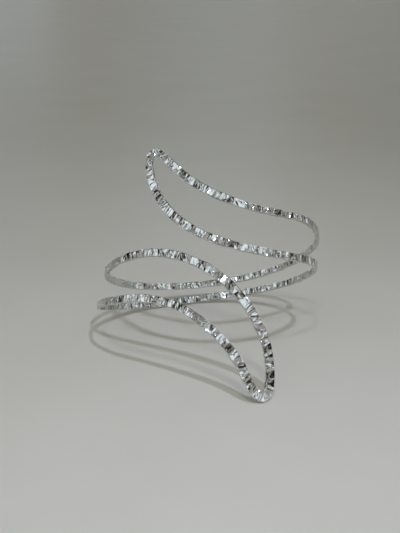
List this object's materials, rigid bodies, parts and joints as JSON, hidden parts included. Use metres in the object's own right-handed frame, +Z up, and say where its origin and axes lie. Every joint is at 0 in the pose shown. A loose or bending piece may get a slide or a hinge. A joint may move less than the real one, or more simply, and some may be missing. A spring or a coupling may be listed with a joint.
{
  "type": "hammered upper-arm cuff bracelet",
  "caption": "Open spiral arm cuff: a closed loop of flat hammered metal strip whose twin strands coil round the arm and spread into a leaf-shaped end above and below.",
  "frame": {"origin": "centre of the bounding box at the level of the table that the cuff lies on", "axes": "+Z up from the table, -Y the front with the lower leaf's tip, +X to the right as seen from the front; the coil's own axis leans back towards +Y by about 33 degrees"},
  "size_m": [0.0834, 0.0924, 0.0738],
  "materials": {
    "polished_silver": "polished silver with irregular hammered facets"
  },
  "bodies": {
    "root": {"cuff_band": "polished_silver"}
  },
  "joints": []
}
